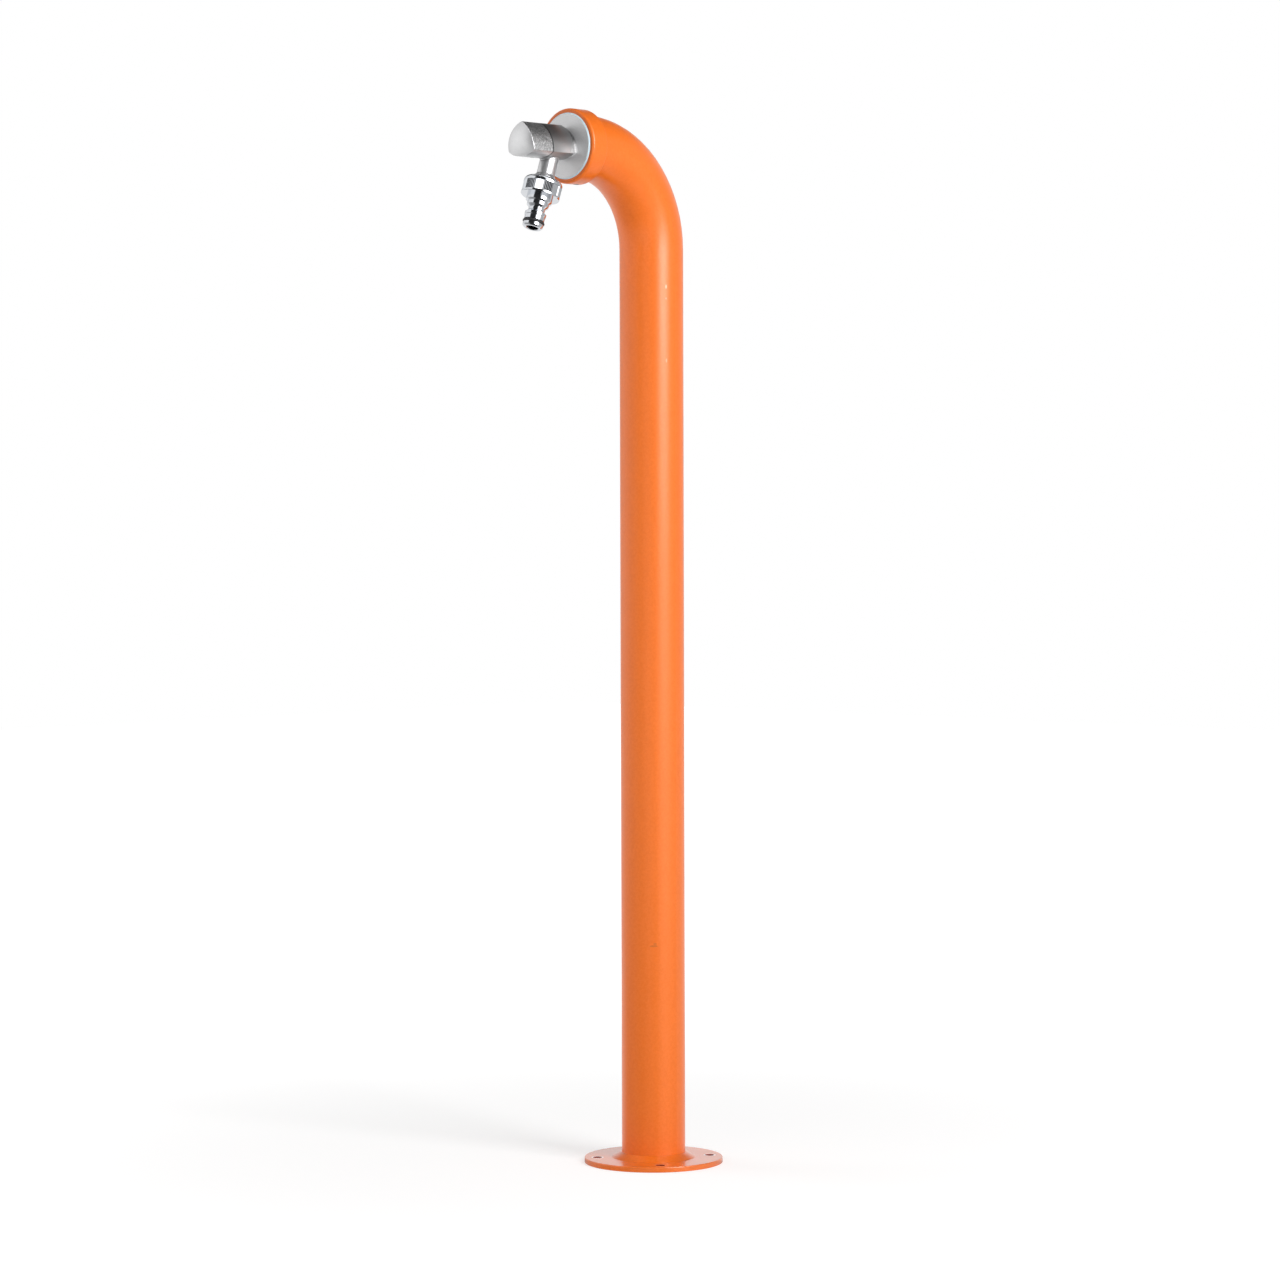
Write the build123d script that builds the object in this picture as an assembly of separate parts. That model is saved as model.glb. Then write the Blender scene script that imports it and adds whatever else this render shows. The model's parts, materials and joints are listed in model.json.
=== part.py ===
from build123d import *
import math
import os

os.makedirs("parts", exist_ok=True)

# Garden standpipe: a bent steel post on a round foot, with a knob tap at its end and a hose inside.
# All sizes are millimetres. The origin is the centre of the foot's underside.
# +Z is up, and the tap looks along -Y.

# Fits shared by all pieces
seat_gap = 0.05
turning_gap = 0.3
cut_overrun = 1

# Bent post tube
tube_diameter = 55
tube_wall = 1.5
bend_radius = 82.5
tap_axis_height = 872.5
tube_nose_length = 16.5

# Round foot
flange_diameter = 120
flange_thickness = 4.5
flange_edge_round = 0.8
hub_height = 4.5
hub_width = 9
hub_lip = 0.6
bolt_rim_distance = 11
bolt_hole_diameter = 8
bolt_count = 4
first_bolt_angle = -40

# Collar round the tube's mouth
collar_wall = 4.25
collar_overlap = 12
collar_front_round = 2.5
collar_rear_round = 0.8
collar_screw_diameter = 5
collar_screw_recess = 1
collar_screw_bite = 1
collar_screw_socket = 2.5
collar_screw_socket_depth = 2.5

# Plug that closes the mouth and carries the tap
plug_step = 0.5
plug_disc_thickness = 6
plug_reveal = 1
plug_edge_chamfer = 1
plug_spigot_length = 14
plug_spigot_wall = 3.2

# Three bowed sides shared by the tap's body and knob
section_apex_height = 17.1
section_corner_drop = 7.7
section_half_width = 15.3
section_bow = 4.6
section_apex_round = 0.8
section_corner_round = 1.4

# Foot ring between the tap and the plug
foot_ring_length = 5
foot_ring_inset = 2

# Tap body with its shank and its inclined outlet
body_length = 24.4
body_rear_chamfer = 0.6
shank_diameter = 20.9
shank_length = 25
shank_bore = 12
inlet_wall = 6
outlet_setback = 14.3
outlet_tilt = 19.5
neck_diameter = 15.5
neck_root_round = 1
neck_length = 27.8
flare_diameter = 25.6
flare_length = 4.4
flare_bow = 0.4
outlet_thread_diameter = 26.4
outlet_thread_length = 11
outlet_bore = 9

# Washer and nut that hold the shank behind the plug
back_washer_diameter = 32
back_washer_thickness = 2
back_nut_across_flats = 27
back_nut_thickness = 5.5

# Valve inside the body
valve_thread_diameter = 20.9
valve_flange_diameter = 22.4
valve_flange_thickness = 1.8
valve_flange_depth = 0.2
valve_seal_thickness = 1.2
valve_head_across_flats = 17
valve_head_length = 4.3
valve_skirt_wall = 1.35
valve_thread_length = 6
disc_diameter = 16
disc_thickness = 2.5
disc_port_inner_diameter = 5
disc_port_outer_diameter = 13
disc_port_angle = 80
inlet_seal_thickness = 2.5
inlet_seal_bore = 10
inlet_seal_margin = 0.2
skirt_lift = 0.3
window_width = 9
window_length = 2.5
window_setback = 0.5
spindle_diameter = 8
spindle_flange_thickness = 2
spindle_reach = 11.5
fork_gap = 2.5
fork_width = 3
fork_inner_diameter = 10
fork_bite = 1
spindle_ring_section = 1.4
spindle_ring_room = 0.1
spindle_ring_setbacks = (3, 6.5)
clip_thickness = 0.8
clip_depth = 0.8
clip_width = 2.2
clip_mouth = 3

# Knob
knob_gap = 0.5
knob_length = 26.7
knob_dome_radius = 36
knob_edge_round = 0.4
knob_recess_diameter = 21.8
knob_recess_room = 0.8
knob_screw_diameter = 4
knob_screw_setback = 5
knob_screw_recess = 1.5
knob_screw_socket = 2
knob_screw_socket_depth = 2
knob_bore_room = 0.5

# Hose connector screwed on the outlet
connector_top_gap = 0.3
nut_diameter = 33.2
nut_top_round = 3.2
nut_rim_length = 4.6
knurl_length = 8.6
knurl_count = 72
knurl_depth = 0.4
knurl_recess = 0.3
lower_rim_length = 1.8
lower_rim_chamfer = 0.4
nut_across_flats = 31.5
shoulder_diameter = 22.2
shoulder_length = 5.7
shoulder_chamfer = 1.3
barrel_diameter = 18.6
barrel_length = 2.9
waist_diameter = 14.2
waist_taper_length = 2.1
waist_length = 2.3
latch_taper_length = 2
latch_diameter = 18.4
latch_length = 2.5
land_taper_length = 0.5
land_diameter = 17.4
land_length = 3.4
ring_groove_length = 3
tip_diameter = 17.6
tip_length = 2.2
tip_chamfer_length = 1.2
tip_chamfer_depth = 1.25
connector_bore = 10.4
mouth_chamfer = 0.5
o_ring_section = 2.6
o_ring_diameter = 18.8
gasket_thickness = 2
gasket_bore = 11
gasket_margin = 0.4

# Supply hose inside the post
hose_diameter = 12
hose_bore = 8
hose_straight = 7
hose_offset = 8
hose_nut_across_flats = 24
hose_nut_engagement = 6
hose_nut_wall = 1.5
hose_nut_bore = 10
hose_gasket_thickness = 2
hose_tail_flange_thickness = 2
hose_tail_flange_diameter = 18
hose_tail_bore = 6
hose_tail_shortfall = 2
hose_end_gap = 0.5
ferrule_length = 20
ferrule_wall = 0.9
inlet_lift = 2
inlet_fitting_length = 20
inlet_fitting_across_flats = 24
inlet_thread_diameter = 20.96
inlet_thread_length = 14
inlet_bore = 6

# Stations along the tap's axis, measured forward from the post's axis
tube_mouth = bend_radius + tube_nose_length
plug_front = tube_mouth + plug_disc_thickness
plug_rear = tube_mouth - plug_spigot_length
collar_front = plug_front - plug_reveal
collar_rear = tube_mouth - collar_overlap
collar_screw_station = tube_mouth - collar_overlap / 2
body_rear = plug_front + foot_ring_length
body_front = body_rear + body_length
shank_rear = body_rear - shank_length
inlet_seat = body_rear + inlet_wall
outlet_station = body_front - outlet_setback
fixed_disc_rear = inlet_seat + inlet_seal_thickness
moving_disc_rear = fixed_disc_rear + disc_thickness
moving_disc_front = moving_disc_rear + disc_thickness
spindle_flange_rear = moving_disc_front + fork_gap
spindle_flange_front = spindle_flange_rear + spindle_flange_thickness
valve_flange_front = body_front - valve_flange_depth
valve_flange_rear = valve_flange_front - valve_flange_thickness
valve_seal_rear = valve_flange_rear - valve_seal_thickness
valve_head_front = valve_flange_front + valve_head_length
clip_front = valve_head_front + clip_thickness
knob_rear = body_front + knob_gap
knob_front = knob_rear + knob_length
knob_recess_front = clip_front + knob_recess_room
spindle_front = clip_front + spindle_reach
knob_screw_station = spindle_front - knob_screw_setback
hose_gasket_rear = shank_rear - hose_gasket_thickness
hose_tail_flange_rear = hose_gasket_rear - hose_tail_flange_thickness
hose_nut_front = shank_rear + hose_nut_engagement
hose_nut_rear = hose_tail_flange_rear - hose_nut_wall
hose_top_end = hose_nut_rear - hose_end_gap
hose_bend_station = hose_top_end - ferrule_length - hose_straight
hose_bend_radius = hose_bend_station + hose_offset

# Stations along the outlet, measured from the tap's axis
flare_end = neck_length + flare_length
connector_top = flare_end + connector_top_gap
outlet_end = flare_end + outlet_thread_length
gasket_end = outlet_end + gasket_thickness

# Stretches of the connector in their order from its top down to its mouth
connector_stretches = {
    "rim": nut_rim_length,
    "knurl": knurl_length,
    "lower rim": lower_rim_length,
    "shoulder": shoulder_length,
    "barrel": barrel_length,
    "waist taper": waist_taper_length,
    "waist": waist_length,
    "latch taper": latch_taper_length,
    "latch": latch_length,
    "land taper": land_taper_length,
    "land": land_length,
    "ring groove": ring_groove_length,
    "tip": tip_length,
    "mouth": tip_chamfer_length,
}

# Heights inside the post
inlet_fitting_top = inlet_lift + inlet_fitting_length
hose_bottom_end = inlet_fitting_top + hose_end_gap

# Radii and lengths that several pieces share
tube_radius = tube_diameter / 2
tube_inner_radius = tube_radius - tube_wall
plug_radius = tube_radius + plug_step
spigot_radius = tube_inner_radius - seat_gap
section_low = section_corner_drop + section_bow
spindle_radius = spindle_diameter / 2
disc_chamber_radius = disc_diameter / 2 + seat_gap
moving_radius = disc_chamber_radius - turning_gap
o_ring_center_radius = (o_ring_diameter - o_ring_section) / 2
ferrule_inner_radius = hose_diameter / 2 + seat_gap
hose_tail_radius = hose_bore / 2 - seat_gap
hose_tail_length = ferrule_length - hose_tail_shortfall

# Places of the tap and of its outlet: each has its own Z along its axis
tap_place = Location(Plane((0, 0, tap_axis_height), x_dir=(1, 0, 0), z_dir=(0, -1, 0)))
outlet_direction = (0, -math.cos(math.radians(outlet_tilt)), math.sin(math.radians(outlet_tilt)))
outlet_place = Location(Plane((0, 0, outlet_station), x_dir=(1, 0, 0), z_dir=outlet_direction))


def rod(radius, start, end):
    """A round bar along Z from start to end."""
    return Pos(0, 0, start) * extrude(Circle(radius), end - start)


def ring(outer_radius, inner_radius, start, end):
    """A round sleeve along Z from start to end."""
    return Pos(0, 0, start) * extrude(Circle(outer_radius) - Circle(inner_radius), end - start)


def hex_bar(across_flats, start, end):
    """A six-sided bar along Z from start to end."""
    outline = RegularPolygon(across_flats / 2, 6, major_radius=False)
    return Pos(0, 0, start) * extrude(outline, end - start)


def turned(*corners):
    """A solid turned about Z. A corner is its radius and height, and a third number rounds it."""
    outline = make_face(Polyline(*[corner[:2] for corner in corners], close=True))
    for radius, height, rounding in [corner for corner in corners if len(corner) == 3]:
        nearest = outline.vertices().sort_by_distance((radius, height))[0]
        outline = fillet(nearest, rounding)
    return revolve(Plane.XZ * outline, Axis.Z)


def downward(shape, station):
    """Puts a shape that lies along Z so that it points down from the tap's axis at a station."""
    return Pos(0, 0, station) * Rot(90, 0, 0) * shape


def grub_screw(radius, tip, head, socket, socket_depth):
    """A headless screw along Z with a six-sided socket in its outer end."""
    return rod(radius, tip, head) - hex_bar(socket, head - socket_depth, head + cut_overrun)


section_corners = {
    "left": (-section_half_width, -section_corner_drop),
    "right": (section_half_width, -section_corner_drop),
    "apex": (0, section_apex_height),
}


def bowed_triangle():
    """The tap's outline before rounding, a triangle with its apex up and all three sides bowed out."""
    corners = list(section_corners.values())
    next_corners = corners[1:] + corners[:1]
    sides = [SagittaArc(start, end, -section_bow) for start, end in zip(corners, next_corners)]
    return make_face(sides)


def tap_outline():
    """The tap's outline with its apex and its two low corners rounded."""
    outline = bowed_triangle()
    for name, corner in section_corners.items():
        rounding = section_apex_round if name == "apex" else section_corner_round
        outline = fillet(outline.vertices().sort_by_distance(corner)[0], rounding)
    return outline


# Foot


def base_flange():
    hub_top = flange_thickness + hub_height
    bore = tube_radius + seat_gap
    rim = flange_diameter / 2
    plate = turned(
        (bore, 0),
        (rim, 0),
        (rim, flange_thickness, flange_edge_round),
        (tube_radius + hub_width, flange_thickness),
        (bore + hub_lip, hub_top),
        (bore, hub_top),
    )
    places = PolarLocations(rim - bolt_rim_distance, bolt_count, first_bolt_angle)
    holes = places * rod(bolt_hole_diameter / 2, -cut_overrun, flange_thickness + cut_overrun)
    return plate - holes


# Post


def tube_path():
    bend_start = (0, 0, tap_axis_height - bend_radius)
    bend_end = (0, -bend_radius, tap_axis_height)
    upright = Line((0, 0, 0), bend_start)
    bend = TangentArc(bend_start, bend_end, tangent=(0, 0, 1))
    nose = Line(bend_end, (0, -tube_mouth, tap_axis_height))
    return upright + bend + nose


def collar_screw_hole(depth):
    hole = rod(collar_screw_diameter / 2 + seat_gap, depth, tube_radius + collar_wall + cut_overrun)
    return downward(hole, collar_screw_station)


def post_tube():
    wall = Circle(tube_radius) - Circle(tube_inner_radius)
    tube = sweep(wall, path=tube_path())
    return tube - tap_place * collar_screw_hole(tube_inner_radius - tube_wall)


def end_collar():
    outer = tube_radius + collar_wall
    tube_bore = tube_radius + seat_gap
    plug_bore = plug_radius + seat_gap
    collar = turned(
        (tube_bore, collar_rear),
        (outer, collar_rear, collar_rear_round),
        (outer, collar_front, collar_front_round),
        (plug_bore, collar_front),
        (plug_bore, tube_mouth),
        (tube_bore, tube_mouth),
    )
    return tap_place * (collar - collar_screw_hole(tube_radius - tube_wall))


def collar_set_screw():
    tip = spigot_radius - collar_screw_bite
    head = tube_radius + collar_wall - collar_screw_recess
    screw = grub_screw(collar_screw_diameter / 2, tip, head, collar_screw_socket, collar_screw_socket_depth)
    return tap_place * downward(screw, collar_screw_station)


def end_plug():
    plug = turned(
        (shank_diameter / 2 + seat_gap, tube_mouth),
        (spigot_radius - plug_spigot_wall, tube_mouth),
        (spigot_radius - plug_spigot_wall, plug_rear),
        (spigot_radius, plug_rear),
        (spigot_radius, tube_mouth),
        (plug_radius, tube_mouth),
        (plug_radius, plug_front - plug_edge_chamfer),
        (plug_radius - plug_edge_chamfer, plug_front),
        (shank_diameter / 2 + seat_gap, plug_front),
    )
    return tap_place * (plug - collar_screw_hole(spigot_radius - collar_screw_bite))


# Tap body and what holds it


def foot_ring():
    outline = offset(bowed_triangle(), -foot_ring_inset)
    block = Pos(0, 0, plug_front) * extrude(outline, foot_ring_length)
    hole = rod(shank_diameter / 2 + seat_gap, plug_front - cut_overrun, body_rear + cut_overrun)
    return tap_place * (block - hole)


def outlet_neck():
    """The inclined pipe, its flare and its threaded end, along Z from the tap's axis."""
    neck_radius = neck_diameter / 2
    flare_radius = flare_diameter / 2
    flare_start = (neck_radius, neck_length)
    flare_stop = (flare_radius, flare_end)
    cove = SagittaArc(flare_start, flare_stop, flare_bow)
    shank = Polyline(
        flare_stop,
        (outlet_thread_diameter / 2, flare_end),
        (outlet_thread_diameter / 2, outlet_end),
        (0, outlet_end),
        (0, 0),
        (neck_radius, 0),
        flare_start,
    )
    return revolve(Plane.XZ * make_face(cove + shank), Axis.Z)


def valve_chamber():
    """The hollow that the valve screws into, the flange's recess and the water's way in."""
    chamber = rod(valve_thread_diameter / 2 + seat_gap, inlet_seat, body_front + cut_overrun)
    recess = rod(valve_flange_diameter / 2 + seat_gap, valve_seal_rear, body_front + cut_overrun)
    inlet = rod(shank_bore / 2, shank_rear - cut_overrun, inlet_seat + cut_overrun)
    return chamber + recess + inlet


def tap_body():
    barrel = Pos(0, 0, body_rear) * extrude(tap_outline(), body_length)
    barrel = chamfer(barrel.faces().sort_by(Axis.Z)[0].edges(), body_rear_chamfer)
    neck = outlet_place * outlet_neck()
    body = barrel + neck
    root = new_edges(barrel, neck, combined=body).sort_by(Axis.Y)[0]
    body = fillet(root, neck_root_round)
    body += rod(shank_diameter / 2, shank_rear, body_rear)
    way_out = outlet_place * rod(outlet_bore / 2, 0, outlet_end + cut_overrun)
    return tap_place * (body - valve_chamber() - way_out)


def back_washer():
    washer = ring(
        back_washer_diameter / 2,
        shank_diameter / 2 + seat_gap,
        tube_mouth - back_washer_thickness,
        tube_mouth,
    )
    return tap_place * washer


def back_nut():
    front = tube_mouth - back_washer_thickness
    rear = front - back_nut_thickness
    nut = hex_bar(back_nut_across_flats, rear, front)
    return tap_place * (nut - rod(shank_diameter / 2 + seat_gap, rear - cut_overrun, front + cut_overrun))


# Valve


def valve_housing():
    thread_rear = valve_flange_rear - valve_thread_length
    thread_radius = valve_thread_diameter / 2
    skirt_rear = inlet_seat + skirt_lift
    skirt_radius = disc_chamber_radius + valve_skirt_wall
    shell = rod(skirt_radius, skirt_rear, thread_rear)
    shell += rod(thread_radius, thread_rear, valve_flange_rear)
    shell += rod(valve_flange_diameter / 2, valve_flange_rear, valve_flange_front)
    shell += hex_bar(valve_head_across_flats, valve_flange_front, valve_head_front)
    shell -= rod(disc_chamber_radius, skirt_rear - cut_overrun, spindle_flange_front)
    spindle_bore_rear = spindle_flange_front - cut_overrun
    shell -= rod(spindle_radius + seat_gap, spindle_bore_rear, valve_head_front + cut_overrun)
    window_start = moving_disc_front + window_setback
    window = Box(
        window_width,
        valve_thread_diameter + cut_overrun,
        window_length,
        align=(Align.CENTER, Align.CENTER, Align.MIN),
    )
    return tap_place * (shell - Pos(0, 0, window_start) * window)


def valve_housing_seal():
    bore = valve_thread_diameter / 2 + seat_gap
    seal = ring(valve_flange_diameter / 2, bore, valve_seal_rear, valve_flange_rear)
    return tap_place * seal


def valve_inlet_seal():
    seal = ring(disc_diameter / 2 - inlet_seal_margin, inlet_seal_bore / 2, inlet_seat, fixed_disc_rear)
    return tap_place * seal


def ported_disc(radius, rear, turn):
    """A ceramic disc with two opposite fan-shaped ports, turned about its axis."""
    fan = CenterArc((0, 0), disc_port_outer_diameter / 2, turn - disc_port_angle / 2, disc_port_angle)
    inner = CenterArc((0, 0), disc_port_inner_diameter / 2, turn - disc_port_angle / 2, disc_port_angle)
    port = make_face([fan, inner, Line(fan @ 0, inner @ 0), Line(fan @ 1, inner @ 1)])
    outline = Circle(radius) - port - Rot(0, 0, 180) * port
    return Pos(0, 0, rear) * extrude(outline, disc_thickness)


def fork_outline(width, reach):
    """Two opposite blocks that reach out from the fork's inner diameter."""
    bar = Rectangle(width, reach * 2)
    return bar - Circle(fork_inner_diameter / 2)


def fixed_disc():
    return tap_place * ported_disc(disc_diameter / 2, fixed_disc_rear, 90)


def moving_disc():
    disc = ported_disc(moving_radius, moving_disc_rear, 0)
    outline = fork_outline(fork_width + turning_gap, moving_radius + cut_overrun)
    notches = extrude(outline, fork_bite + cut_overrun)
    return tap_place * (disc - Pos(0, 0, moving_disc_front - fork_bite) * notches)


def spindle():
    stem = rod(spindle_radius, spindle_flange_rear, spindle_front)
    flange = rod(moving_radius, spindle_flange_rear, spindle_flange_front)
    fork_rear = moving_disc_front - fork_bite
    outline = fork_outline(fork_width, moving_radius) & Circle(moving_radius)
    fork = extrude(outline, spindle_flange_rear - fork_rear)
    groove_root = spindle_radius - spindle_ring_section - seat_gap
    half_groove = spindle_ring_section / 2 + spindle_ring_room
    bar = stem + flange + Pos(0, 0, fork_rear) * fork
    for setback in spindle_ring_setbacks:
        middle = spindle_flange_front + setback
        bar -= ring(spindle_radius + cut_overrun, groove_root, middle - half_groove, middle + half_groove)
    bar -= ring(spindle_radius + cut_overrun, spindle_radius - clip_depth, valve_head_front, clip_front)
    return tap_place * bar


def spindle_o_rings():
    section = spindle_ring_section / 2
    rings = [
        Pos(0, 0, spindle_flange_front + setback) * Torus(spindle_radius - section, section)
        for setback in spindle_ring_setbacks
    ]
    return tap_place * Compound(children=rings)


def spindle_clip():
    inner = spindle_radius - clip_depth + seat_gap
    outer = spindle_radius - clip_depth + clip_width
    mouth = Pos(0, outer / 2) * Rectangle(clip_mouth, outer)
    outline = Circle(outer) - Circle(inner) - mouth
    return tap_place * Pos(0, 0, valve_head_front) * extrude(outline, clip_thickness - seat_gap)


# Knob


def knob_screw_hole():
    hole = rod(knob_screw_diameter / 2 + seat_gap, 0, section_low + cut_overrun)
    return downward(hole, knob_screw_station)


def knob():
    block = Pos(0, 0, knob_rear) * extrude(tap_outline(), knob_length)
    dome = Pos(0, 0, knob_front - knob_dome_radius) * Sphere(knob_dome_radius)
    body = block & dome
    face = body.faces().filter_by(GeomType.SPHERE)[0]
    body = fillet(face.edges(), knob_edge_round)
    body -= rod(knob_recess_diameter / 2, knob_rear - cut_overrun, knob_recess_front)
    body -= rod(spindle_radius + seat_gap, knob_rear, spindle_front + knob_bore_room)
    return tap_place * (body - knob_screw_hole())


def knob_set_screw():
    head = section_low - knob_screw_recess
    tip = spindle_radius + seat_gap
    screw = grub_screw(knob_screw_diameter / 2, tip, head, knob_screw_socket, knob_screw_socket_depth)
    return tap_place * downward(screw, knob_screw_station)


# Hose connector, along Z from its top down to its mouth


def level(last):
    """The distance from the connector's top to the end of the named stretch."""
    names = list(connector_stretches)
    passed = names[: names.index(last) + 1]
    return sum(connector_stretches[name] for name in passed)


def knurl_bar():
    """A bar whose outside has sharp grooves along it."""
    crest = nut_diameter / 2 - knurl_recess
    corners = []
    for count in range(knurl_count * 2):
        radius = crest - knurl_depth * (count % 2)
        angle = math.pi * count / knurl_count
        corners.append((radius * math.cos(angle), radius * math.sin(angle)))
    outline = make_face(Polyline(*corners, close=True))
    return Pos(0, 0, level("rim")) * extrude(outline, knurl_length)


def nut_outline():
    """Half of the nut's section: a rounded top, two rims and the knurl's bed between them."""
    nut = nut_diameter / 2
    bed = nut - knurl_recess * 2 - knurl_depth
    corners = Polyline(
        (0, 0),
        (nut, 0),
        (nut, level("rim")),
        (bed, level("rim")),
        (bed, level("knurl")),
        (nut, level("knurl")),
        (nut, level("lower rim") - lower_rim_chamfer),
        (nut - lower_rim_chamfer, level("lower rim")),
        (0, level("lower rim")),
        close=True,
    )
    outline = make_face(corners)
    return fillet(outline.vertices().sort_by_distance((nut, 0))[0], nut_top_round)


def nipple_body():
    """The stepped pipe below the nut that the hose's coupling slides over."""
    groove_radius = o_ring_center_radius - o_ring_section / 2 - seat_gap
    return turned(
        (0, level("rim")),
        (shoulder_diameter / 2, level("rim")),
        (shoulder_diameter / 2, level("shoulder") - shoulder_chamfer),
        (shoulder_diameter / 2 - shoulder_chamfer, level("shoulder")),
        (barrel_diameter / 2, level("shoulder")),
        (barrel_diameter / 2, level("barrel")),
        (waist_diameter / 2, level("waist taper")),
        (waist_diameter / 2, level("waist")),
        (latch_diameter / 2, level("latch taper")),
        (latch_diameter / 2, level("latch")),
        (land_diameter / 2, level("land taper")),
        (land_diameter / 2, level("land")),
        (groove_radius, level("land")),
        (groove_radius, level("ring groove")),
        (tip_diameter / 2, level("ring groove")),
        (tip_diameter / 2, level("tip")),
        (tip_diameter / 2 - tip_chamfer_depth, level("mouth")),
        (0, level("mouth")),
    )


def connector_inside():
    """The thread's hollow, the seat of the gasket and the way out."""
    thread = outlet_thread_diameter / 2 + seat_gap
    seat = gasket_end - connector_top
    bore = connector_bore / 2
    mouth = level("mouth")
    return turned(
        (0, -cut_overrun),
        (thread, -cut_overrun),
        (thread, seat),
        (bore, seat),
        (bore, mouth - mouth_chamfer),
        (bore + mouth_chamfer, mouth),
        (bore + mouth_chamfer, mouth + cut_overrun),
        (0, mouth + cut_overrun),
    )


def hose_connector():
    flats = Box(nut_across_flats, nut_diameter, knurl_length, align=(Align.CENTER, Align.CENTER, Align.MIN))
    knurl = knurl_bar() & Pos(0, 0, level("rim")) * flats
    nut = revolve(Plane.XZ * nut_outline(), Axis.Z) + knurl
    piece = nut + nipple_body() - connector_inside()
    return tap_place * outlet_place * Pos(0, 0, connector_top) * piece


def connector_gasket():
    outer = outlet_thread_diameter / 2 - gasket_margin
    gasket = ring(outer, gasket_bore / 2, outlet_end, gasket_end)
    return tap_place * outlet_place * gasket


def connector_o_ring():
    middle = level("ring groove") - ring_groove_length / 2
    o_ring = Pos(0, 0, connector_top + middle) * Torus(o_ring_center_radius, o_ring_section / 2)
    return tap_place * outlet_place * o_ring


# Supply hose, from the shank's end down to the foot


def hose_path():
    top = (0, -hose_top_end, tap_axis_height)
    bend_start = (0, -hose_bend_station, tap_axis_height)
    bend_end = (0, hose_offset, tap_axis_height - hose_bend_radius)
    bend = TangentArc(bend_start, bend_end, tangent=(0, 1, 0))
    return Line(top, bend_start) + bend + Line(bend_end, (0, hose_offset, hose_bottom_end))


def supply_hose():
    wall = Circle(hose_diameter / 2) - Circle(hose_bore / 2)
    start = Plane((0, -hose_top_end, tap_axis_height), x_dir=(1, 0, 0), z_dir=(0, 1, 0))
    return sweep(start * wall, path=hose_path())


def hose_top_gasket():
    outer = hose_tail_flange_diameter / 2
    return tap_place * ring(outer, shank_bore / 2, hose_gasket_rear, shank_rear)


def hose_top_nut():
    nut = hex_bar(hose_nut_across_flats, hose_nut_rear, hose_nut_front)
    nut -= rod(shank_diameter / 2 + seat_gap, hose_tail_flange_rear, hose_nut_front + cut_overrun)
    nut -= rod(hose_nut_bore / 2, hose_nut_rear - cut_overrun, hose_nut_front)
    return tap_place * nut


def hose_top_tail():
    tail_end = hose_top_end - hose_tail_length
    tail = rod(hose_tail_flange_diameter / 2, hose_tail_flange_rear, hose_gasket_rear)
    tail += rod(hose_tail_radius, tail_end, hose_tail_flange_rear)
    tail -= rod(hose_tail_bore / 2, tail_end - cut_overrun, hose_gasket_rear + cut_overrun)
    return tap_place * tail


def ferrule(start):
    return ring(ferrule_inner_radius + ferrule_wall, ferrule_inner_radius, start, start + ferrule_length)


def hose_top_ferrule():
    return tap_place * ferrule(hose_top_end - ferrule_length)


def hose_bottom_ferrule():
    return Pos(0, hose_offset, 0) * ferrule(hose_bottom_end)


def hose_inlet_fitting():
    thread_top = inlet_lift + inlet_thread_length
    tail_top = hose_bottom_end + hose_tail_length
    fitting = hex_bar(inlet_fitting_across_flats, inlet_lift, inlet_fitting_top)
    fitting += rod(hose_tail_radius, inlet_fitting_top, tail_top)
    fitting -= rod(inlet_thread_diameter / 2, inlet_lift - cut_overrun, thread_top)
    fitting -= rod(inlet_bore / 2, thread_top - cut_overrun, tail_top + cut_overrun)
    return Pos(0, hose_offset, 0) * fitting


pieces = (
    base_flange,
    post_tube,
    end_collar,
    collar_set_screw,
    end_plug,
    foot_ring,
    tap_body,
    back_washer,
    back_nut,
    valve_housing,
    valve_housing_seal,
    valve_inlet_seal,
    fixed_disc,
    moving_disc,
    spindle,
    spindle_o_rings,
    spindle_clip,
    knob,
    knob_set_screw,
    hose_connector,
    connector_gasket,
    connector_o_ring,
    supply_hose,
    hose_top_gasket,
    hose_top_nut,
    hose_top_tail,
    hose_top_ferrule,
    hose_bottom_ferrule,
    hose_inlet_fitting,
)

for piece in pieces:
    export_step(piece(), f"parts/{piece.__name__}.step")
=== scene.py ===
import json
import math

import bpy
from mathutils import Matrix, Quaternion, Vector


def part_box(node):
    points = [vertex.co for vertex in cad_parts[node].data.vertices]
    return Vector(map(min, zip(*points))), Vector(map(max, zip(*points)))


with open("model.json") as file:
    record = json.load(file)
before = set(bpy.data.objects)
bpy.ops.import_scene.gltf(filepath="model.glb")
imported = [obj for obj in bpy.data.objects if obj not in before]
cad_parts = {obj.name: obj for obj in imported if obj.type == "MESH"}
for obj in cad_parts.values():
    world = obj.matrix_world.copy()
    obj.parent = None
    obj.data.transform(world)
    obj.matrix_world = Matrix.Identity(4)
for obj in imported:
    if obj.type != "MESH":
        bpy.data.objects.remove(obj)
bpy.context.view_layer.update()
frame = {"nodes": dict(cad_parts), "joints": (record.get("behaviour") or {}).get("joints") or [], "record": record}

nodes = frame["nodes"]

MM = 0.001

# The tap's axis runs along -Y, and the knob's joint sits on it at the knob's rear
_, KNOB_REAR, AXIS_HEIGHT = frame["joints"][0]["pos_m"]
BODY_FRONT = KNOB_REAR + 0.5 * MM
BODY_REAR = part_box("foot_ring")[0][1]
NECK_FROM = AXIS_HEIGHT - 14.5 * MM

# The disc that closes the collar, with a chamfer round it
DISC_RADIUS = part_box("end_plug")[1][0]
CHAMFER_WIDTH = 1.0 * MM

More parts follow.
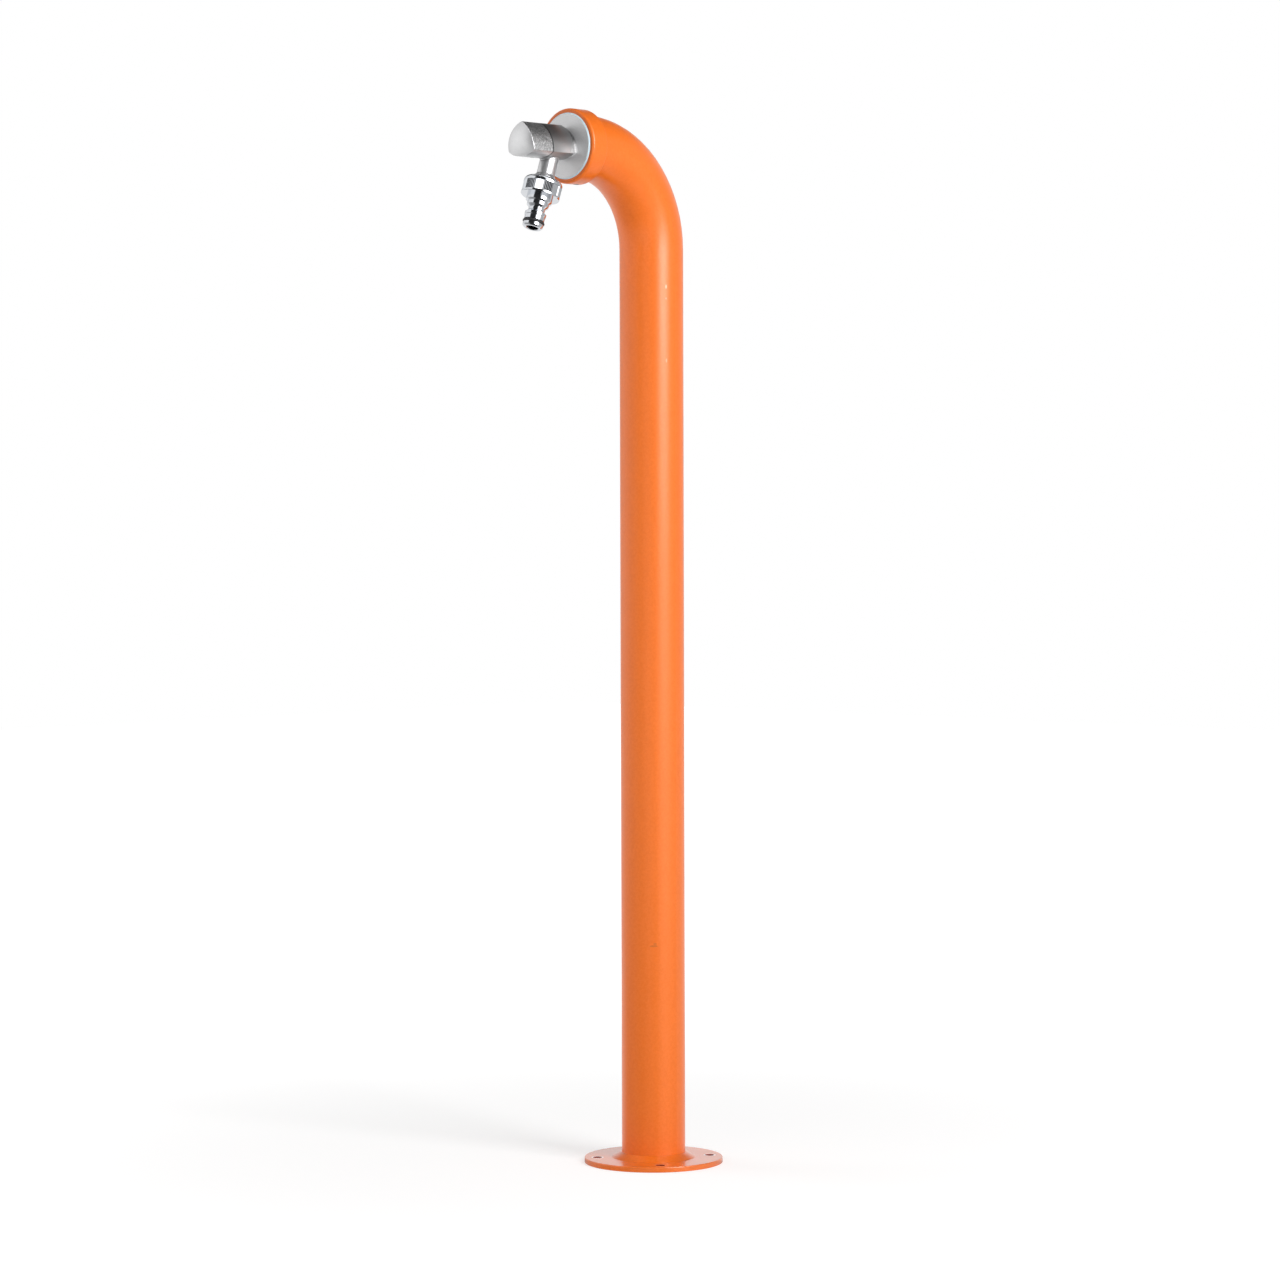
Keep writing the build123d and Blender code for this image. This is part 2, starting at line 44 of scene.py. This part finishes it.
# Set screw under the collar
SCREW_LOW, SCREW_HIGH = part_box("collar_set_screw")
SCREW_STATION = (SCREW_LOW[1] + SCREW_HIGH[1]) / 2
SCREW_HOLE_RADIUS = SCREW_HIGH[0] + 0.05 * MM

# Bolt holes in the foot. The first one, in front in the photo, is at this angle from +X
BOLTS = next(mount["dims"] for mount in frame["record"]["mounts"] if mount["name"] == "base_bolts")
BOLT_RING_RADIUS = BOLTS["pcd_mm"] / 2 * MM
BOLT_HOLE_RADIUS = BOLTS["hole_r_mm"] * MM
FIRST_BOLT_ANGLE = -40.0
# How strong the painted highlight is on each hole's rim
BOLT_RIM_HIGHLIGHT_SHARES = (0.15, 1.0, 1.0, 1.0)
RIM_MIDDLE = BOLT_HOLE_RADIUS + 1.3 * MM
RIM_BLUR = 0.4 * MM

# Small marks on the post: azimuth with 0 in front and 90 at +X, then height, half width and half height
# in millimetres, and how strong the mark is, with a minus where it is dark
POST_MARKS = (
    (70.6, 756.9, 0.7, 1.9, 0.75),
    (70.6, 746.8, 0.6, 0.9, 0.45),
    (70.9, 693.7, 0.6, 1.9, 0.40),
    (44.6, 190.4, 3.8, 0.8, -0.50),
    (46.8, 192.2, 1.6, 1.2, -0.40),
)

# Colours, linear
WHITE = (1.0, 1.0, 1.0)
ORANGE = (0.84, 0.166, 0.012)
ORANGE_PEEL = (0.79, 0.142, 0.002)
ORANGE_GRAIN = (0.90, 0.25, 0.05)
ORANGE_SPECK = (0.45, 0.07, 0.015)
PALE_MARK = (0.95, 0.62, 0.42)
DARK_MARK = (0.42, 0.11, 0.02)
# Painted highlight on the bolt holes' rims
RIM_HIGHLIGHT = (1.0, 0.97, 0.95)
# Painted shade inside the bolt holes
BOLT_HOLE_SHADE = (0.30, 0.03, 0.01)
# Painted shade in the collar's set screw hole
SCREW_HOLE_SHADE = (0.03, 0.012, 0.01)
STEEL = (0.62, 0.62, 0.625)
DISC_STEEL = (0.65, 0.65, 0.655)
# Painted highlight on the disc's chamfer
CHAMFER_HIGHLIGHT = (0.70, 0.88, 0.96)
# Painted highlight on the knob's front edge
EDGE_HIGHLIGHT = (0.92, 0.92, 0.93)
DARK_JOINT = (0.06, 0.06, 0.065)
# Painted shadow where the foot ring meets the body
ROOT_SHADOW = (0.10, 0.10, 0.105)
CHROME = (0.70, 0.72, 0.75)
RUBBER_BLOOM = (0.07, 0.07, 0.072)

# The side that the photo was taken from. The studio is laid out by the angle from it, positive to the right.
VIEW_AZIMUTH = 43.4061
# What gloss sees round the object: an angle and how bright. The first row is near the horizon and the
# second is higher up.
SURROUNDINGS = (
    (-180, 1.0), (-172, 0.80), (-150, 0.68), (-140, 0.7), (-125, 0.95), (-108, 1.20), (-57, 1.22),
    (-51, 0.60), (-46, 0.03), (14, 0.03), (20, 0.9), (29, 3.7), (63, 3.7), (72, 0.7), (98, 0.50),
    (118, 0.58), (136, 0.80), (165, 0.80), (174, 1.0), (180, 1.0),
)
OVERHEAD = (
    (-180, 0.06), (-140, 0.10), (-120, 0.85), (-60, 1.05), (-55, 0.55), (-50, 0.03),
    (16, 0.03), (24, 1.2), (60, 1.6), (75, 0.8), (90, 0.08), (180, 0.06),
)
# The floor near the post as gloss sees it
FLOOR_NEAR = (
    (-180, 0.95), (-125, 0.95), (-105, 0.36), (-62, 0.36), (-50, 0.04), (16, 0.04), (28, 0.60),
    (85, 0.45), (110, 0.95), (180, 0.95),
)
# Upward part of a direction where the second row begins to show and where it has taken over
OVERHEAD_FROM = 0.34
OVERHEAD_TO = 0.50
# Brightness of the surroundings as matt surfaces see them, near the horizon and overhead
FILL_LOW = 0.66
FILL_OVERHEAD = 0.30

FLOOR_HALF = 6.0
FLOOR_DROP = 0.2 * MM
# The floor's paleness as the camera sees it, and as the object's matt surfaces see it
FLOOR_SEEN = 0.5
FLOOR_MATT = 0.85
# The floor's own glow for the camera, near the post and far off, and the distances between which it rises
GLOW_NEAR = 0.60
GLOW_FAR = 0.98
GLOW_FROM = 0.2
GLOW_TO = 1.6
# Distances between which the floor turns white in gloss
MIRROR_FROM = 1.0
MIRROR_TO = 3.0

# Roughness of the clear lacquer that gives the foot its gloss
LACQUER_ROUGHNESS = 0.26

# Camera, as fitted to the photo
CAMERA_PLACE = (2.32837, -2.47625, 0.56051)
CAMERA_YAW = math.radians(43.4163)
CAMERA_PITCH = math.radians(1.8073)
CAMERA_ROLL = math.radians(-0.1555)
LENS_MM = 110.4997
SENSOR_MM = 36.0


def shade(color, factor):
    return tuple(channel * factor for channel in color)


class Graph:
    """The nodes of a material or a world, made one after another."""

    def __init__(self, owner, output="ShaderNodeOutputMaterial"):
        self.owner = owner
        owner.use_nodes = True
        self.tree = owner.node_tree
        self.tree.nodes.clear()
        self.output = self.add(output)

    def add(self, kind, **settings):
        node = self.tree.nodes.new(kind)
        for key, value in settings.items():
            setattr(node, key, value)
        return node

    def put(self, socket, value):
        """Links a socket to another one, or sets its number or colour."""
        if isinstance(value, bpy.types.NodeSocket):
            self.tree.links.new(value, socket)
        elif isinstance(value, tuple) and socket.type == "RGBA":
            socket.default_value = (*value, 1.0)
        else:
            socket.default_value = value

    def fill(self, kind, values, **settings):
        """Adds a node with values in its inputs, in order or by label, and gives back its first output."""
        node = self.add(kind, **settings)
        if not isinstance(values, dict):
            values = dict(enumerate(values))
        for key, value in values.items():
            self.put(node.inputs[key], value)
        return node.outputs[0]

    def math(self, operation, first, second=0.0):
        return self.fill("ShaderNodeMath", (first, second), operation=operation)

    def times(self, *values):
        product = values[0]
        for value in values[1:]:
            product = self.math("MULTIPLY", product, value)
        return product

    def length(self, first, second):
        """The length of a step with two parts at right angles."""
        return self.math("SQRT", self.math("ADD", self.times(first, first), self.times(second, second)))

    def axes(self, vector):
        split = self.add("ShaderNodeSeparateXYZ")
        self.put(split.inputs[0], vector)
        return split.outputs

    def place(self):
        return self.add("ShaderNodeTexCoord").outputs["Object"]

    def facing(self):
        return self.axes(self.add("ShaderNodeTexCoord").outputs["Normal"])

    def turned(self, x, y, azimuth):
        """How far x and y reach to the right of an azimuth, and along it."""
        turn = math.radians(azimuth)
        sine, cosine = math.sin(turn), math.cos(turn)
        right = self.math("ADD", self.times(x, cosine), self.times(y, sine))
        ahead = self.math("SUBTRACT", self.times(x, sine), self.times(y, cosine))
        return right, ahead

    def noise(self, vector, scale, detail=2.0, roughness=0.5):
        """Soft noise with about scale / 1000 spots in each millimetre."""
        values = {"Vector": vector, "Scale": scale, "Detail": detail, "Roughness": roughness}
        return self.fill("ShaderNodeTexNoise", values)

    def cells(self, vector, scale):
        """Distance to the nearest of a cloud of scattered points."""
        return self.fill("ShaderNodeTexVoronoi", {"Vector": vector, "Scale": scale})

    def spread(self, value, low, high, to_low=0.0, to_high=1.0):
        """Maps low..high to another range, clamped, with soft ends."""
        values = (value, low, high, to_low, to_high)
        return self.fill("ShaderNodeMapRange", values, interpolation_type="SMOOTHSTEP")

    def past(self, value, edge, blur, share=1.0):
        """0 below the edge and the share above it."""
        return self.spread(value, edge - blur, edge + blur, 0.0, share)

    def before(self, value, edge, blur, share=1.0):
        """The share below the edge and 0 above it."""
        return self.spread(value, edge - blur, edge + blur, share, 0.0)

    def mix(self, factor, first, second):
        """Mixes two colours. The colour inputs of the node are its seventh and eighth."""
        node = self.add("ShaderNodeMix", data_type="RGBA")
        for index, value in ((0, factor), (6, first), (7, second)):
            self.put(node.inputs[index], value)
        return node.outputs[2]

    def bump(self, height, depth, strength, normal=None):
        values = {"Height": height, "Distance": depth, "Strength": strength}
        if normal is not None:
            values["Normal"] = normal
        return self.fill("ShaderNodeBump", values)

    def surface(self, color, roughness, normal, metallic=0.0, gloss=0.0):
        """Ends a material in a Principled shader, with gloss as its lacquer, and gives back the material."""
        values = {
            "Base Color": color, "Roughness": roughness, "Normal": normal, "Metallic": metallic,
            "Coat Weight": gloss, "Coat Roughness": LACQUER_ROUGHNESS,
        }
        self.put(self.output.inputs[0], self.fill("ShaderNodeBsdfPrincipled", values))
        return self.owner

    def ramp(self, source, stops):
        """A grey ramp through the stops, each a place from 0 to 1 and a brightness."""
        node = self.add("ShaderNodeValToRGB")
        elements = node.color_ramp.elements
        elements[0].position, elements[1].position = stops[0][0], stops[-1][0]
        for place, _ in stops[1:-1]:
            elements.new(place)
        for element, (_, level) in zip(elements, stops):
            element.color = (level, level, level, 1.0)
        self.put(node.inputs[0], source)
        return node.outputs[0]

    def around(self, x, y, row):
        """The brightness that a row of angles gives in a direction."""
        angle = self.math("ARCTAN2", *self.turned(x, y, VIEW_AZIMUTH))
        share = self.math("ADD", self.math("DIVIDE", angle, math.tau), 0.5)
        return self.ramp(share, [(degrees / 360 + 0.5, level) for degrees, level in row])

    def is_ray(self, *kinds):
        """1 for rays of any of the kinds, and 0 for the rest."""
        path = self.add("ShaderNodeLightPath")
        either = path.outputs[kinds[0]]
        for kind in kinds[1:]:
            either = self.math("MAXIMUM", either, path.outputs[kind])
        return either

    def choose(self, factor, first, second):
        """The first shader where the factor is 0, and the second where it is 1."""
        return self.fill("ShaderNodeMixShader", (factor, first, second))


def new_material(name):
    return Graph(bpy.data.materials.new(name))


# Materials


def marked(g, place, color):
    """The post's colour with its few small marks."""
    x, y, z = g.axes(place)
    for azimuth, height, half_width, half_height, strength in POST_MARKS:
        right, ahead = g.turned(x, y, azimuth)
        wide = g.math("DIVIDE", right, half_width * MM)
        tall = g.math("DIVIDE", g.math("SUBTRACT", z, height * MM), half_height * MM)
        squares = g.math("ADD", g.times(wide, wide), g.times(tall, tall))
        spot = g.before(squares, edge=0.8, blur=0.5, share=abs(strength))
        on_this_side = g.math("GREATER_THAN", ahead, 0.0)
        color = g.mix(g.times(spot, on_this_side), color, PALE_MARK if strength > 0 else DARK_MARK)
    return color


def bolt_rims(g, place, color):
    """The foot's colour with a painted highlight on the bolt holes' rims and painted shade inside the holes."""
    x, y, _ = g.axes(place)
    for index, share in enumerate(BOLT_RIM_HIGHLIGHT_SHARES):
        turn = math.radians(FIRST_BOLT_ANGLE) + index * math.tau / len(BOLT_RIM_HIGHLIGHT_SHARES)
        wide = g.math("SUBTRACT", x, BOLT_RING_RADIUS * math.cos(turn))
        deep = g.math("SUBTRACT", y, BOLT_RING_RADIUS * math.sin(turn))
        distance = g.length(wide, deep)
        # A painted highlight round the hole's rim
        color = g.mix(g.before(distance, RIM_MIDDLE, RIM_BLUR, share), color, RIM_HIGHLIGHT)
        # Painted shade inside the hole
        inside = g.before(distance, BOLT_HOLE_RADIUS + 0.08 * MM, 0.04 * MM)
        color = g.mix(inside, color, BOLT_HOLE_SHADE)
    return color


def mouth_ring(g, place, color):
    """The collar's colour, with painted shade on its front ring round the disc and in its set screw's hole."""
    # Painted shade on the collar's front ring round the disc, which faces the front
    front = g.before(g.facing()[1], edge=-0.885, blur=0.085, share=0.9)
    color = g.mix(front, color, shade(ORANGE, 0.72))
    x, y, z = g.axes(place)
    distance = g.length(x, g.math("SUBTRACT", y, SCREW_STATION))
    # Painted shade in the set screw's hole, on the collar's underside
    hole = g.before(distance, SCREW_HOLE_RADIUS + 0.25 * MM, 0.15 * MM)
    below = g.math("LESS_THAN", z, AXIS_HEIGHT)
    return g.mix(g.times(hole, below), color, SCREW_HOLE_SHADE)


def orange_coat(name, details, gloss=0.0):
    """Satin powder coat: a fine orange peel, faint clouds in its colour and a few specks."""
    g = new_material(name)
    place = g.place()
    clouds = g.noise(place, 9.0, 3.0)
    grain = g.noise(place, 900.0)
    peel = g.noise(place, 420.0, 3.0, 0.6)
    specks = g.before(g.cells(place, 95.0), edge=0.045, blur=0.01)
    rare = g.past(g.noise(place, 31.0, 0.0), edge=0.68, blur=0.02)
    color = g.mix(clouds, shade(ORANGE, 0.985), shade(ORANGE, 1.045))
    color = g.mix(g.spread(peel, 0.38, 0.62, 0.0, 0.5), color, ORANGE_PEEL)
    color = g.mix(g.spread(grain, 0.35, 0.75, 0.0, 0.12), color, ORANGE_GRAIN)
    color = g.mix(g.times(specks, rare, 0.35), color, ORANGE_SPECK)
    color = details(g, place, color)
    roughness = g.spread(clouds, 0.3, 0.7, 0.30, 0.36)
    normal = g.bump(peel, 0.05 * MM, 0.5)
    normal = g.bump(grain, 0.09 * MM, 0.8, normal)
    return g.surface(color, roughness, normal, gloss=gloss)


def blasted_steel(name):
    """Fine bead-blasted stainless steel of the plug's disc, with a painted pale blue highlight on the chamfer
    round it.
    """
    g = new_material(name)
    place = g.place()
    x, _, z = g.axes(place)
    radius = g.length(x, g.math("SUBTRACT", z, AXIS_HEIGHT))
    rim = g.past(radius, DISC_RADIUS - CHAMFER_WIDTH, 0.1 * MM)
    grain = g.noise(place, 1200.0, 4.0, 0.8)
    clouds = g.noise(place, 60.0)
    color = g.mix(g.spread(grain, 0.35, 0.65), shade(DISC_STEEL, 0.84), shade(DISC_STEEL, 1.12))
    color = g.mix(g.times(clouds, 0.15), color, shade(DISC_STEEL, 1.15))
    # Painted highlight on the chamfer
    color = g.mix(rim, color, CHAMFER_HIGHLIGHT)
    roughness = g.spread(grain, 0.2, 0.8, 0.46, 0.56)
    blast = g.times(g.math("SUBTRACT", 1.0, rim), grain)
    metallic = g.spread(rim, 0.0, 1.0, 0.65, 0.45)
    return g.surface(color, roughness, g.bump(blast, 0.08 * MM, 0.6), metallic)


def body_steel(name):
    """Satin steel of the tap's body, with painted shade at the top, a painted highlight low towards the disc and
    painted light on the neck.
    """
    g = new_material(name)
    place = g.place()
    _, y, z = g.axes(place)
    grain = g.noise(place, 2000.0, 4.0, 0.75)
    clouds = g.noise(place, 80.0)
    top = g.past(z, AXIS_HEIGHT + 5.5 * MM, 4.5 * MM, 0.6)
    low = g.before(z, AXIS_HEIGHT - 2.5 * MM, 5.5 * MM)
    neck = g.before(z, NECK_FROM + 1.0 * MM, 1.0 * MM)
    under = g.before(g.facing()[2], edge=-0.625, blur=0.175)
    rearward = g.spread(y, BODY_FRONT, BODY_REAR)
    # Where the painted highlight goes: low on the rear of the body, off its underside
    polished = g.times(rearward, low, g.math("SUBTRACT", 1.0, under))
    color = g.mix(g.spread(grain, 0.3, 0.7), shade(STEEL, 0.56), shade(STEEL, 0.70))
    color = g.mix(g.times(clouds, 0.15), color, shade(STEEL, 0.9))
    # Painted shade over the top of the body
    color = g.mix(top, color, shade(STEEL, 0.34))
    # Painted highlight low on the body towards the disc
    color = g.mix(polished, color, shade(STEEL, 1.50))
    # Painted light on the neck
    color = g.mix(neck, color, shade(STEEL, 1.08))
    roughness = g.spread(grain, 0.25, 0.75, 0.29, 0.37)
    return g.surface(color, roughness, g.bump(grain, 0.03 * MM, 0.7), 0.95)


def ring_steel(name):
    """Fine-grained steel of the foot ring, pale and less metallic low down as a painted highlight, darker higher
    up as painted shade, with a painted shadow where it meets the body.
    """
    g = new_material(name)
    place = g.place()
    _, y, z = g.axes(place)
    high = g.past(z, AXIS_HEIGHT + 1.5 * MM, 5.5 * MM)
    root_shadow = g.before(y, BODY_REAR + 1.8 * MM, 0.4 * MM, 0.85)
    grain = g.noise(place, 1500.0, 3.0, 0.7)
    # Pale colour of the ring's lower part, a painted highlight
    color = g.mix(g.spread(grain, 0.3, 0.7), (0.86, 0.86, 0.87), (0.94, 0.94, 0.95))
    # Painted shade on the ring's upper part
    color = g.mix(high, color, shade(STEEL, 0.6))
    # Painted shadow where the ring meets the body
    color = g.mix(root_shadow, color, ROOT_SHADOW)
    roughness = g.spread(grain, 0.25, 0.75, 0.22, 0.30)
    metallic = g.spread(high, 0.0, 1.0, 0.30, 1.0)
    return g.surface(color, roughness, g.bump(grain, 0.01 * MM, 0.7), metallic)


def knob_steel(name):
    """Steel of the knob: sandblasted round its sides, finer on its front, with a painted highlight on the edge
    between and painted light on its underside.

    The rear edge, beside the joint to the body, is dark.
    """
    g = new_material(name)
    place = g.place()
    _, forward, upward = g.facing()
    side = g.past(forward, edge=-0.79, blur=0.05)
    edge = g.times(side, g.before(forward, edge=-0.175, blur=0.075))
    under = g.times(side, g.before(upward, edge=-0.675, blur=0.175), 0.7)
    joint = g.past(g.axes(place)[1], KNOB_REAR - 0.8 * MM, 0.3 * MM, 0.8)
    coarse = g.noise(place, 620.0, 3.0, 0.7)
    fine = g.noise(place, 1500.0, 3.0, 0.7)
    grain = g.math("ADD", g.times(coarse, 0.55), g.times(fine, 0.45))
    blasted = g.mix(g.spread(grain, 0.40, 0.60), shade(STEEL, 0.45), shade(STEEL, 0.98))
    # Painted light on the knob's underside
    blasted = g.mix(under, blasted, shade(STEEL, 1.2))
    front = g.mix(g.spread(fine, 0.3, 0.7), shade(STEEL, 1.07), shade(STEEL, 1.17))
    # Painted highlight on the edge between the front and the sides
    color = g.mix(edge, g.mix(side, front, blasted), EDGE_HIGHLIGHT)
    color = g.mix(joint, color, DARK_JOINT)
    roughness = g.spread(grain, 0.35, 0.65, 0.34, 0.48)
    roughness = g.math("SUBTRACT", roughness, g.times(edge, 0.16))
    height = g.times(grain, g.spread(side, 0.0, 1.0, 0.12, 1.0))
    metallic = g.spread(edge, 0.0, 1.0, 1.0, 0.6)
    return g.surface(color, roughness, g.bump(height, 0.22 * MM, 0.7), metallic)


def polished_chrome(name):
    """Bright chrome plate with faint turning lines and faint clouds in its gloss."""
    g = new_material(name)
    place = g.place()
    clouds = g.noise(place, 140.0)
    squeezed = g.fill("ShaderNodeMapping", {"Vector": place, "Scale": (1.0, 1.0, 12.0)})
    lines = g.noise(squeezed, 700.0, 3.0, 0.7)
    roughness = g.spread(clouds, 0.3, 0.7, 0.03, 0.07)
    color = g.mix(g.spread(clouds, 0.3, 0.7), shade(CHROME, 0.97), CHROME)
    return g.surface(color, roughness, g.bump(lines, 0.012 * MM, 0.4), 1.0)


def turned_metal(name, color, roughness_low, roughness_high, metallic=1.0):
    """Plain turned metal with a fine uneven grain, for the small and hidden pieces."""
    g = new_material(name)
    place = g.place()
    grain = g.noise(place, 1400.0, 3.0, 0.6)
    clouds = g.noise(place, 55.0, 3.0)
    tint = g.mix(clouds, shade(color, 0.85), shade(color, 1.1))
    tint = g.mix(g.spread(grain, 0.4, 0.8, 0.0, 0.2), tint, shade(color, 0.6))
    roughness = g.spread(clouds, 0.3, 0.7, roughness_low, roughness_high)
    return g.surface(tint, roughness, g.bump(grain, 0.04 * MM, 0.5), metallic)


def rubber(name, color, roughness):
    """Matt moulded rubber with a light bloom."""
    g = new_material(name)
    place = g.place()
    grain = g.noise(place, 1100.0, 3.0, 0.6)
    bloom = g.noise(place, 70.0, 3.0)
    tint = g.mix(g.spread(bloom, 0.4, 0.8, 0.0, 0.35), color, RUBBER_BLOOM)
    uneven = g.spread(bloom, 0.3, 0.7, roughness - 0.06, roughness + 0.06)
    return g.surface(tint, uneven, g.bump(grain, 0.04 * MM, 0.5))


def ceramic(name):
    """Lapped white ceramic of the valve's two discs."""
    g = new_material(name)
    place = g.place()
    grain = g.noise(place, 1900.0)
    clouds = g.noise(place, 90.0)
    tint = g.mix(clouds, (0.80, 0.79, 0.75), (0.88, 0.87, 0.84))
    roughness = g.spread(clouds, 0.3, 0.7, 0.14, 0.22)
    return g.surface(tint, roughness, g.bump(grain, 0.01 * MM, 0.4))


def dress(material, *names):
    """Gives the nodes this material and no other."""
    for name in names:
        mesh = nodes[name].data
        mesh.materials.clear()
        mesh.materials.append(material)


dress(orange_coat("orange powder coat of the post", marked), "post_tube")
dress(orange_coat("orange powder coat of the collar", mouth_ring), "end_collar")
dress(orange_coat("orange powder coat of the foot", bolt_rims, gloss=1.0), "base_flange")
dress(blasted_steel("blasted steel"), "end_plug")
dress(body_steel("satin steel of the body"), "tap_body")
dress(ring_steel("bright steel of the foot ring"), "foot_ring")
dress(knob_steel("steel of the knob"), "knob")
dress(polished_chrome("polished chrome"), "hose_connector")
dress(turned_metal("black steel", (0.035, 0.035, 0.04), 0.35, 0.5, 0.6), "collar_set_screw")
dress(
    turned_metal("plain steel", (0.42, 0.42, 0.43), 0.35, 0.5),
    "knob_set_screw", "back_washer", "spindle_clip", "hose_top_ferrule", "hose_bottom_ferrule",
)
dress(
    turned_metal("turned brass", (0.72, 0.50, 0.20), 0.28, 0.42),
    "back_nut", "valve_housing", "spindle", "hose_top_nut", "hose_top_tail", "hose_inlet_fitting",
)
dress(
    rubber("seal rubber", (0.012, 0.012, 0.013), 0.45),
    "valve_housing_seal", "valve_inlet_seal", "spindle_o_rings", "connector_gasket",
    "connector_o_ring", "hose_top_gasket",
)
dress(rubber("hose rubber", (0.02, 0.02, 0.021), 0.5), "supply_hose")
dress(ceramic("white ceramic"), "fixed_disc", "moving_disc")


# World, floor and lights


def make_world():
    """White for the camera, the studio's rows for gloss and an even fill for matt surfaces."""
    world = bpy.data.worlds.new("studio")
    bpy.context.scene.world = world
    g = Graph(world, "ShaderNodeOutputWorld")

    def background(color, strength=1.0):
        return g.fill("ShaderNodeBackground", (color, strength))

    x, y, z = g.axes(g.add("ShaderNodeTexCoord").outputs["Generated"])
    height = g.ramp(z, ((OVERHEAD_FROM, 0.0), (OVERHEAD_TO, 1.0)))
    low, high = (background(g.around(x, y, row)) for row in (SURROUNDINGS, OVERHEAD))
    studio = g.choose(height, low, high)
    fill = g.choose(height, background(WHITE, FILL_LOW), background(WHITE, FILL_OVERHEAD))
    unseen = g.choose(g.is_ray("Is Glossy Ray", "Is Transmission Ray"), fill, studio)
    g.put(g.output.inputs[0], g.choose(g.is_ray("Is Camera Ray"), unseen, background(WHITE)))


def floor_material():
    """Nearly white for the camera, with soft shadows, dim near the post in gloss, and pale otherwise."""
    g = new_material("pale floor")
    x, y, _ = g.axes(g.place())
    away = g.length(x, y)
    glow = g.fill("ShaderNodeEmission", (WHITE, g.spread(away, GLOW_FROM, GLOW_TO, GLOW_NEAR, GLOW_FAR)))
    lit = g.fill("ShaderNodeBsdfDiffuse", (shade(WHITE, FLOOR_SEEN),))
    seen = g.fill("ShaderNodeAddShader", (lit, glow))
    dim = g.mix(g.spread(away, MIRROR_FROM, MIRROR_TO), g.around(x, y, FLOOR_NEAR), WHITE)
    mirrored = g.fill("ShaderNodeEmission", (dim,))
    plain = g.fill("ShaderNodeBsdfDiffuse", (shade(WHITE, FLOOR_MATT),))
    unseen = g.choose(g.is_ray("Is Glossy Ray", "Is Transmission Ray"), plain, mirrored)
    g.put(g.output.inputs[0], g.choose(g.is_ray("Is Camera Ray"), unseen, seen))
    return g.owner


def make_floor():
    mesh = bpy.data.meshes.new("floor")
    sides = (-FLOOR_HALF, FLOOR_HALF)
    corners = [(x, y, 0.0) for y in sides for x in sides]
    mesh.from_pydata(corners, [], [(0, 1, 3, 2)])
    mesh.materials.append(floor_material())
    floor = bpy.data.objects.new("floor", mesh)
    bpy.context.scene.collection.objects.link(floor)
    floor.location.z = -FLOOR_DROP


def softbox(name, azimuth, height, distance, width, tall, power, aim=0.5, in_gloss=True):
    """A rectangular light that points at the post. Azimuth 0 is in front of the knob and 90 is at +X."""
    lamp = bpy.data.lights.new(name, "AREA")
    lamp.shape = "RECTANGLE"
    lamp.size = width
    lamp.size_y = tall
    lamp.energy = power
    light = bpy.data.objects.new(name, lamp)
    bpy.context.scene.collection.objects.link(light)
    turn = math.radians(azimuth)
    light.location = (distance * math.sin(turn), -distance * math.cos(turn), height)
    light.visible_glossy = in_gloss
    towards = Vector((0.0, 0.0, aim)) - light.location
    light.rotation_mode = "QUATERNION"
    light.rotation_quaternion = towards.to_track_quat("-Z", "Y")


make_world()
make_floor()
softbox("key right", 87.0, height=1.45, distance=2.0, width=0.95, tall=1.5, power=37.0, aim=0.75)
softbox("fill front", 24.0, height=0.5, distance=3.0, width=1.6, tall=1.6, power=13.0, in_gloss=False)
softbox("fill left", -68.0, height=0.9, distance=2.6, width=1.5, tall=2.0, power=22.0, in_gloss=False)


def make_camera():
    data = bpy.data.cameras.new("camera")
    data.sensor_width = SENSOR_MM
    data.lens = LENS_MM
    camera = bpy.data.objects.new("camera", data)
    bpy.context.scene.collection.objects.link(camera)
    camera.location = CAMERA_PLACE
    level = math.cos(CAMERA_PITCH)
    ahead = Vector((-math.sin(CAMERA_YAW) * level, math.cos(CAMERA_YAW) * level, -math.sin(CAMERA_PITCH)))
    upright = ahead.to_track_quat("-Z", "Y")
    camera.rotation_mode = "QUATERNION"
    camera.rotation_quaternion = upright @ Quaternion((0.0, 0.0, 1.0), CAMERA_ROLL)
    bpy.context.scene.camera = camera


make_camera()
bpy.context.scene.view_settings.view_transform = "Standard"
